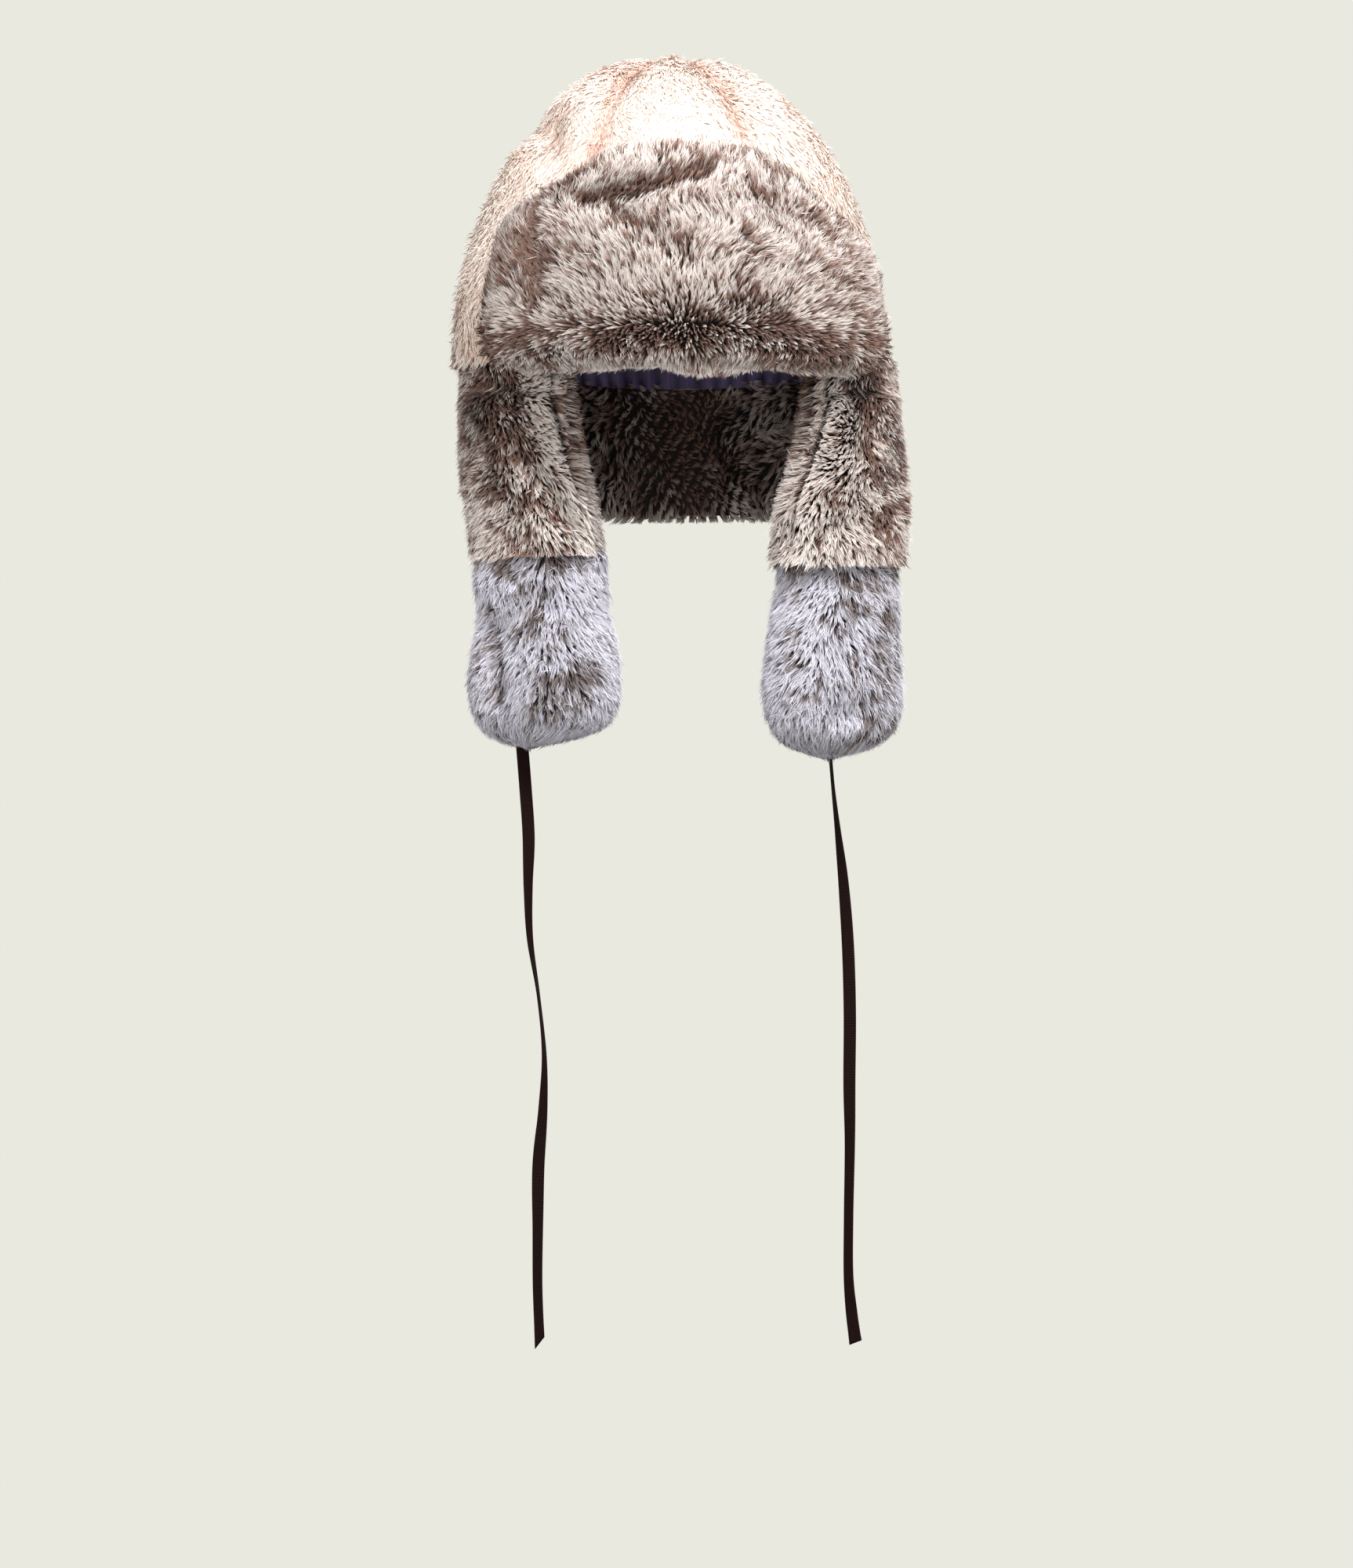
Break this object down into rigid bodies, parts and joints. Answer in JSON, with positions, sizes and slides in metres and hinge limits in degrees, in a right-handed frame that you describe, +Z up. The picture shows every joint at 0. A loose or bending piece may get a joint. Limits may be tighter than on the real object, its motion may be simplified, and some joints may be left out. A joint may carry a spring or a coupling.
{
  "type": "faux-fur trapper hat with hanging ear flaps",
  "caption": "Fur trapper hat: gored crown over a pleated satin lining, turned-up front flap, neck flap, and hanging ear flaps with padded fur ends and ribbon ties.",
  "frame": {"origin": "middle of the head opening, on the plane of the rim", "axes": "+Z up through the crown, the front flap faces -Y, and the wearer's left is +X"},
  "size_m": [0.2222, 0.2499, 0.6284],
  "materials": {
    "cream_fur": "soft cream faux fur with pale brown ticks",
    "brown_fur": "dense grey-brown faux fur with dark ticks and pale tips",
    "grey_fur": "pale lavender-grey faux fur with dark ticks",
    "satin_lining": "smooth lavender satin, finely pleated",
    "ribbon": "dark brown grosgrain ribbon"
  },
  "bodies": {
    "root": {"crown_panel_1": "cream_fur", "crown_panel_2": "cream_fur", "crown_panel_3": "cream_fur", "crown_panel_4": "cream_fur", "crown_panel_5": "cream_fur", "crown_panel_6": "cream_fur", "lining": "satin_lining", "front_flap": "brown_fur", "ear_flap_left": "brown_fur", "ear_flap_right": "brown_fur", "neck_flap": "brown_fur", "paw_left": "grey_fur", "paw_right": "grey_fur", "tie_left": "ribbon", "tie_right": "ribbon"}
  },
  "joints": []
}
